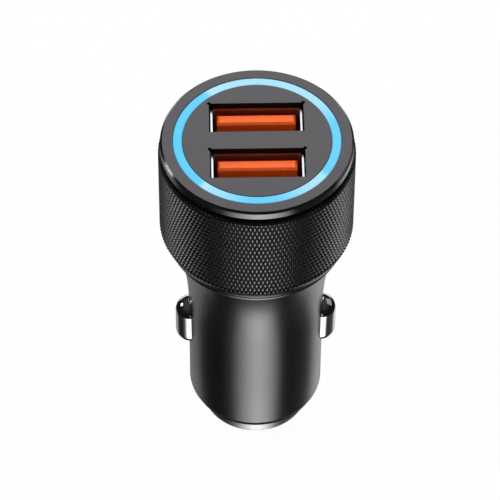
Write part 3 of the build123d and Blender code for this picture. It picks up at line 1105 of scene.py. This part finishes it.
@dataclass
class SideContact(SubAssembly):
    """Sprung pill-shaped contact of one side, and the leaf that presses it out.

    Attributes:
        side: side of the barrel.
        pad_r: radius of the pad.
        pad_l: length between its round ends.
        pad_x: distance of the pad's axis from the plug's axis.
        head_x: where the head behind the wall begins and ends.
        head_r: radius of the head.
        head_round: rounding of the head's edges.
        leaf_t: thickness of the leaf.
        leaf_w: width of the leaf.
        leaf_x: distance of the leaf's foot and of its flat from the axis.
        leaf_z: heights of the leaf's upper end, foot, elbow and lower end above the pad's middle.
        bend: rounding at the leaf's bends.
        bend_steps: faces round a bend.
    """

    side: Side
    pad_r: float = 2.2
    pad_l: float = 4.1
    pad_x: float = 9.8
    head_x: tuple[float, float] = (7.112, 7.812)
    head_r: float = 2.9
    head_round: float = 0.12
    leaf_t: float = 0.25
    leaf_w: float = 3.0
    leaf_x: tuple[float, float] = (0.725, 6.937)
    leaf_z: tuple[float, float, float, float] = (9.0, 6.0, 2.0, -2.4)
    bend: float = 0.6
    bend_steps: int = 6

    def build(self) -> None:
        """Make the contact and its leaf and dress them."""
        low, high = span(f"side_contact_{self.side.word}")
        middle = (low.z + high.z) / 2
        angles = fan(pi / 2, Steps.CURVE)
        half = self.pad_l / 2
        capsule = [(self.pad_r * sin(a), -half - self.pad_r * cos(a)) for a in angles]
        capsule += [(self.pad_r * cos(a), half + self.pad_r * sin(a)) for a in angles]
        bm = turn(capsule, Steps.CONTACT, closed=False)
        bmesh.ops.bisect_plane(
            bm, geom=whole(bm), dist=LOOSE_WELD, plane_co=(0, 0, 0), plane_no=(1, 0, 0), clear_inner=True
        )
        bmesh.ops.translate(bm, vec=(self.pad_x, 0, middle), verts=bm.verts)
        back_x, front_x = self.head_x
        front_middle = Vector((front_x, 0, middle))
        back_middle = Vector((back_x, 0, middle))
        rim = extrude_rim(bm, open_edges(bm), self.on_pill, self.pad_r, front_middle)
        front = extrude_rim(bm, rim, self.on_pill, self.head_r, front_middle)
        back = extrude_rim(bm, front, self.on_pill, self.head_r, back_middle)
        bmesh.ops.edgeloop_fill(bm, edges=back)
        bevel_edges(bm, front + back, self.head_round)
        bmesh.ops.recalc_face_normals(bm, faces=bm.faces)
        self.face_side(bm)
        contact = make_object(f"{self.side.word}_pill_contact", bm)
        self.add(contact, f"side_contact_{self.side.word}", "bright_plate", [BRIGHT_PLATE], self.side.body)
        self.build_leaf(middle)

    def on_pill(self, point: Vector, radius: float, centre: Vector) -> Vector:
        """Point of a pill outline across X, in the direction of another point.

        Args:
            point: point that is seen from the middle of the nearer round end.
            radius: radius of the outline's round ends.
            centre: middle of the outline.

        Returns:
            The point of the outline.
        """
        half = self.pad_l / 2
        end_z = centre.z + max(-half, min(half, point.z - centre.z))
        spoke = Vector((0, point.y, point.z - end_z)).normalized() * radius
        return Vector((centre.x, 0, end_z)) + spoke

    def build_leaf(self, middle: float) -> None:
        """Bend the leaf, dress it and give it a mesh of its own.

        Args:
            middle: height of the pad's middle.
        """
        foot_x, flat_x = self.leaf_x
        end_z, foot_z, elbow_z, low_z = (middle + rise for rise in self.leaf_z)
        bm = bmesh.new()
        route = [(foot_x, end_z), (foot_x, foot_z), (flat_x, elbow_z), (flat_x, low_z)]
        points = [bm.verts.new((x, -self.leaf_w / 2, z)) for x, z in route]
        line = [bm.edges.new(pair) for pair in zip(points, points[1:])]
        width = Vector((0, self.leaf_w, 0))
        extrude_rim(bm, line, lambda point: point + width)
        bends = [edge for edge in bm.edges if edge.is_manifold]
        bevel_edges(bm, bends, self.bend, self.bend_steps)
        bmesh.ops.recalc_face_normals(bm, faces=bm.faces)
        bm.normal_update()
        for vert in bm.verts:
            vert.co += vert.normal * self.leaf_t / 2
        bmesh.ops.solidify(bm, geom=bm.faces[:], thickness=self.leaf_t)
        bmesh.ops.recalc_face_normals(bm, faces=bm.faces)
        self.face_side(bm)
        leaf = make_object(f"{self.side.word}_leaf_spring", bm)
        self.add(leaf, f"contact_leaf_{self.side.word}", "spring_steel", [SPRING_STEEL])
        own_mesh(leaf)

    def face_side(self, bm: Mesh) -> None:
        """Turn a mesh made for the right to its own side."""
        if self.side is Side.LEFT:
            bmesh.ops.rotate(bm, cent=(0, 0, 0), matrix=Matrix.Rotation(pi, 3, "Z"), verts=bm.verts)


@dataclass
class Nose(SubAssembly):
    """Insulating bush, plated nose, sprung pin and its coil spring.

    Attributes:
        bush: outer radius, inner radius and spring hole radius of the bush.
        web_t: thickness of the bush's web.
        nose: radius of the nose's shank, of its chamber and of the pin's hole.
        floor_t: thickness of the nose's floor.
        nose_chamfer: chamfer at the nose's lower edge.
        pin: radius of the pin, of its head and of its spigot.
        pin_rise: end of the dome, head and seat of the pin above its tip.
        coil: radius of the spring and of its wire.
        coil_turns: turns of the spring.
        edge: rounding of the edges.
        terminal_edge: rounding of the terminal's edges.
    """

    bush: tuple[float, float, float] = (8.35, 6.29, 4.19)
    web_t: float = 0.8
    nose: tuple[float, float, float] = (6.26, 4.81, 3.38)
    floor_t: float = 1.35
    nose_chamfer: float = 0.35
    pin: tuple[float, float, float] = (3.26, 4.46, 2.66)
    pin_rise: tuple[float, float, float] = (1.5, 5.05, 6.25)
    coil: tuple[float, float] = (3.61, 0.28)
    coil_turns: int = 6
    edge: float = 0.08
    terminal_edge: float = 0.05

    def build(self) -> None:
        """Make and dress the bush, the nose, the pin and the spring, and dress the terminal."""
        bush_r, bush_in_r, hole_r = self.bush
        low, high = span("nose_bush")
        collar_z, top_z = low.z, high.z
        end_z = span("housing")[0].z
        web_z = top_z - self.web_t
        outline = [(bush_in_r, collar_z), (high.x, collar_z), (high.x, end_z), (bush_r, end_z)]
        outline += [(bush_r, top_z), (hole_r, top_z), (hole_r, web_z), (bush_in_r, web_z)]
        bm = turn(outline, Steps.PIN)
        soften(bm, self.edge / 2)
        self.add(make_object("insulating_bush", bm), "nose_bush", "bush_plastic", [BUSH_NYLON])
        shank_r, chamber_r, pin_hole_r = self.nose
        low, high = span("nose_cap")
        low_z, nose_r = low.z, high.x
        floor_z = low_z + self.floor_t
        chamfer = self.nose_chamfer
        outline = [(pin_hole_r, low_z), (nose_r - chamfer, low_z), (nose_r, low_z + chamfer)]
        outline += [(nose_r, collar_z), (shank_r, collar_z), (shank_r, high.z), (chamber_r, high.z)]
        outline += [(chamber_r, floor_z), (pin_hole_r, floor_z)]
        bm = turn(outline, Steps.BODY)
        soften(bm, self.edge)
        self.add(make_object("plated_nose", bm), "nose_cap", "bright_plate", [NOSE_PLATE])
        self.build_pin()
        self.build_spring(top_z)
        self.keep("tip_terminal", GOLD_STRIP, self.terminal_edge)

    def build_pin(self) -> None:
        """Turn the sprung pin and dress it."""
        pin_r, head_r, spigot_r = self.pin
        low, high = span("tip_pin")
        tip_z, spigot_z = low.z, high.z
        dome_z, head_z, seat_z = (tip_z + rise for rise in self.pin_rise)
        rise = dome_z - tip_z
        bend = (pin_r**2 + rise**2) / (2 * rise)
        angles = fan(asin(pin_r / bend), Steps.CURVE)
        outline = [(bend * sin(a), tip_z + bend * (1 - cos(a))) for a in angles]
        outline += [(pin_r, head_z), (head_r, head_z), (head_r, seat_z), (spigot_r, seat_z)]
        outline += [(spigot_r, spigot_z), (0, spigot_z)]
        bm = turn(outline, Steps.PIN, closed=False)
        soften(bm, self.edge)
        self.add(make_object("sprung_pin", bm), "tip_pin", "bright_plate", [BRIGHT_PLATE], Body.TIP)

    def build_spring(self, top_z: float) -> None:
        """Wind the coil spring, dress it and give it a mesh of its own.

        Args:
            top_z: height of the terminal that it presses on.
        """
        coil_r, wire_r = self.coil
        low, high = span("tip_spring")
        low_z = low.z + wire_r
        high_z = high.z - wire_r
        steps = Steps.COIL * self.coil_turns
        bm = bmesh.new()
        upright = Matrix.Translation((coil_r, 0, low_z)) @ Matrix.Rotation(pi / 2, 4, "X")
        bmesh.ops.create_circle(bm, cap_ends=False, radius=wire_r, segments=Steps.HIDDEN, matrix=upright)
        bmesh.ops.spin(
            bm, geom=whole(bm), cent=(0, 0, 0), axis=(0, 0, 1), dvec=(0, 0, (high_z - low_z) / steps),
            angle=2 * pi * self.coil_turns, steps=steps,
        )
        bmesh.ops.edgeloop_fill(bm, edges=open_edges(bm))
        bmesh.ops.recalc_face_normals(bm, faces=bm.faces)
        spring = make_object("pin_coil_spring", bm)
        self.add(spring, "tip_spring", "spring_steel", [SPRING_STEEL])
        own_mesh(spring)


@dataclass
class Electronics(SubAssembly):
    """Boards and the parts on them, inside the body.

    Attributes:
        edge: rounding on the parts.
    """

    edge: float = 0.06

    def build(self) -> None:
        """Dress the boards and the parts on them."""
        self.keep("usb_board", BOARD)
        self.keep("main_board", BOARD)
        self.keep("power_inductor", FERRITE, self.edge)
        self.keep("input_capacitor", CAN, self.edge)
        for node in ("output_capacitor", "converter_chip", "rectifier_diode"):
            self.keep(node, EPOXY, self.edge)
        self.keep("fuse", CERAMIC, self.edge)


@dataclass
class Studio:
    """Camera, floor and light of a product picture on white.

    Attributes:
        distance: distance of the camera from its target.
        azimuth: degrees that the camera stands to the right of the front.
        elevation: degrees above the horizon.
        roll: degrees that the camera is turned about its own axis.
        target: point that it looks at.
        lens: focal length.
        floor_z: height of the floor.
        floor_size: half the length of the floor's sides.
        floor_colour: colour of its paint.
        floor_white: share of plain white in the floor that the camera sees; the rest keeps the shadow.
        lamps: name, azimuth, elevation, size and power of each soft lamp, and whether gloss shows it.
        lamp_target: point that the lamps face.
        lamp_distance: distance of the lamps from it.
        fill: soft light from all round.
        pool: strength of the panels below the horizon, which only gloss shows.
        panels: azimuth and brightness of the panels: a bright pool in front, dark sides, grey behind.
        panel_window: height, from 0 straight down to 1 straight up, and how much of the panels shows.
        strips: strength of two upright strips above the panels, which only gloss shows.
        strip_places: azimuth and brightness of the strips: a broad one behind, a dim narrow one in front.
        strip_window: height, and how much of the strips shows.
        room: height, and brightness of the dark room round all this, which only gloss shows.
    """

    distance: float = 500
    azimuth: float = -1.5
    elevation: float = 49.76
    roll: float = 0.36
    target: tuple[float, float, float] = (-0.91, 0, 29.01)
    lens: float = 245.16
    floor_z: float = -8.25
    floor_size: float = 3000
    floor_colour: str = "#f4f4f4"
    floor_white: float = 0.975
    lamps: tuple[tuple[str, float, float, float, float, bool], ...] = (
        ("left_softbox", -107, 23, 110, 0.25, True),
        ("right_softbox", 112, 25, 300, 0.14, True),
        ("back_softbox", 175, 52, 200, 0.22, True),
        ("key_softbox", 180, 58, 250, 0.92, False),
        ("front_softbox", 0, 64, 250, 0.2, False),
    )
    lamp_target: tuple[float, float, float] = (0, 0, 25)
    lamp_distance: float = 400
    fill: float = 0.35
    pool: float = 4.9
    panels: Levels = (
        (-180, 0.06), (-126, 0.1), (-106, 0.012), (-94, 0.003), (-62, 0.003), (-52, 0.022), (-42, 0.05),
        (-32, 0.28), (-12, 0.75), (2, 1), (18, 0.78), (37, 0.26), (44, 0.03), (52, 0.008), (80, 0.012),
        (106, 0.03), (120, 0.18), (140, 0.2), (180, 0.05),
    )
    panel_window: Levels = ((0.025, 0), (0.033, 1), (0.16, 1), (0.21, 0))
    strips: float = 1.8
    strip_places: Levels = (
        (-180, 1), (-156, 1), (-142, 0), (-6, 0), (0, 0.4), (6, 0.4), (12, 0), (142, 0), (156, 1),
        (180, 1),
    )
    strip_window: Levels = ((0.28, 0), (0.32, 1), (0.42, 1), (0.46, 0))
    room: Levels = ((0, 0.012), (0.6, 0.012), (1, 0.085))

    @staticmethod
    def stand(aim: Vector, azimuth: float, elevation: float, distance: float) -> Matrix:
        """Place of a camera or a lamp that faces a point.

        Args:
            aim: point that it faces.
            azimuth: degrees from the front, positive to the right.
            elevation: degrees above the horizon.
            distance: distance from the point.

        Returns:
            Its matrix, in metres.
        """
        a, e = radians(azimuth), radians(elevation)
        direction = Vector((sin(a) * cos(e), -cos(a) * cos(e), sin(e)))
        look = direction.to_track_quat("Z", "Y").to_matrix().to_4x4()
        return Matrix.Translation((aim + direction * distance) * MM) @ look

    def add_camera(self) -> None:
        """Place the camera as the photograph's stood."""
        data = bpy.data.cameras.new("camera")
        data.lens = self.lens
        camera = link_new("camera", data)
        aim = Matrix.Rotation(radians(self.azimuth), 3, "Z") @ Vector(self.target)
        place = self.stand(aim, self.azimuth, self.elevation, self.distance)
        camera.matrix_world = place @ Matrix.Rotation(radians(self.roll), 4, "Z")
        bpy.context.scene.camera = camera

    def add_lamps(self) -> None:
        """Hang the soft lamps round the object."""
        aim = Vector(self.lamp_target)
        for name, azimuth, elevation, size, power, in_gloss in self.lamps:
            data = bpy.data.lights.new(name, "AREA")
            data.size = size * MM
            data.energy = power
            lamp = link_new(name, data)
            lamp.matrix_world = self.stand(aim, azimuth, elevation, self.lamp_distance)
            lamp.visible_camera = False
            lamp.visible_glossy = in_gloss

    def add_floor(self) -> None:
        """Lay the pale floor, which keeps a soft shadow and stays white to the camera."""
        bm = bmesh.new()
        place = Matrix.Translation((0, 0, self.floor_z))
        bmesh.ops.create_grid(bm, x_segments=1, y_segments=1, size=self.floor_size, matrix=place)
        floor = make_object("studio_floor", bm)
        material = bpy.data.materials.new("painted_floor_white")
        material.use_nodes = True
        tree = material.node_tree
        tree.nodes.remove(tree.nodes["Principled BSDF"])
        paint = add_node(tree, "ShaderNodeBsdfDiffuse", {"Color": linear(self.floor_colour)})
        glow = add_node(tree, "ShaderNodeEmission", {"Color": (1, 1, 1, 1)})
        rays = add_node(tree, "ShaderNodeLightPath")
        share = add_node(
            tree, "ShaderNodeMath", {0: rays.outputs["Is Camera Ray"], 1: self.floor_white},
            operation="MULTIPLY",
        )
        mixed = add_node(
            tree, "ShaderNodeMixShader", {0: share.outputs[0], 1: paint.outputs[0], 2: glow.outputs[0]}
        )
        below = add_node(tree, "ShaderNodeNewGeometry").outputs["Backfacing"]
        clear = add_node(tree, "ShaderNodeBsdfTransparent")
        shown = add_node(tree, "ShaderNodeMixShader", {0: below, 1: mixed.outputs[0], 2: clear.outputs[0]})
        feed(tree, tree.nodes["Material Output"], {"Surface": shown.outputs[0]})
        floor.data.materials.append(material)
        floor.visible_glossy = False

    def add_world(self) -> None:
        """Make the surroundings: white seen straight or through, even for soft light, panels for gloss."""
        world = bpy.data.worlds.new("studio")
        bpy.context.scene.world = world
        world.use_nodes = True
        tree = world.node_tree
        axes = add_node(
            tree, "ShaderNodeSeparateXYZ", {0: add_node(tree, "ShaderNodeTexCoord").outputs["Generated"]}
        )
        front = add_node(tree, "ShaderNodeMath", {0: axes.outputs["Y"], 1: -1.0}, operation="MULTIPLY")
        around = turn_of(tree, axes.outputs["X"], front.outputs[0])
        height = add_node(
            tree, "ShaderNodeMapRange", {"Value": axes.outputs["Z"], "From Min": -1.0, "From Max": 1.0}
        ).outputs["Result"]
        lit = []
        for strength, places, window in (
            (self.pool, self.panels, self.panel_window), (self.strips, self.strip_places, self.strip_window)
        ):
            area = multiply_ramps(tree, (around, greys(places, turn_share)), (height, greys(window)))
            lit.append(add_node(tree, "ShaderNodeBackground", {"Color": area, "Strength": strength}))
        pool, strips = lit
        walls = add_node(tree, "ShaderNodeValToRGB", {0: height}, greys(self.room))
        room = add_node(tree, "ShaderNodeBackground", {"Color": walls.outputs["Color"]})
        dim = add_node(tree, "ShaderNodeAddShader", {0: strips.outputs[0], 1: room.outputs[0]})
        gloss = add_node(tree, "ShaderNodeAddShader", {0: pool.outputs[0], 1: dim.outputs[0]})
        white = (1, 1, 1, 1)
        fill = add_node(tree, "ShaderNodeBackground", {"Color": white, "Strength": self.fill})
        seen = add_node(tree, "ShaderNodeBackground", {"Color": white})
        rays = add_node(tree, "ShaderNodeLightPath")
        soft = add_node(
            tree, "ShaderNodeMixShader",
            {0: rays.outputs["Is Glossy Ray"], 1: fill.outputs[0], 2: gloss.outputs[0]},
        )
        straight = add_node(
            tree, "ShaderNodeMath",
            {0: rays.outputs["Is Camera Ray"], 1: rays.outputs["Is Transmission Ray"]}, operation="MAXIMUM",
        )
        final = add_node(
            tree, "ShaderNodeMixShader", {0: straight.outputs[0], 1: soft.outputs[0], 2: seen.outputs[0]}
        )
        feed(tree, tree.nodes["World Output"], {"Surface": final.outputs[0]})

    def build(self) -> None:
        """Set up the whole studio."""
        bpy.context.scene.view_settings.view_transform = "Standard"
        self.add_camera()
        self.add_floor()
        self.add_world()
        self.add_lamps()
        log.info("studio is set")


def main() -> None:
    """Build and dress every sub-assembly."""
    logging.basicConfig(level=logging.INFO, format="%(message)s")
    assemblies: list[Studio | SubAssembly] = [Studio(), Housing(), KnurledSleeve(), FacePlate(), LightRing()]
    assemblies += [UsbSocket(port) for port in Port]
    assemblies += [SideContact(side) for side in Side]
    assemblies += [Nose(), Electronics()]
    for assembly in assemblies:
        assembly.build()


if __name__ == "__main__":
    main()
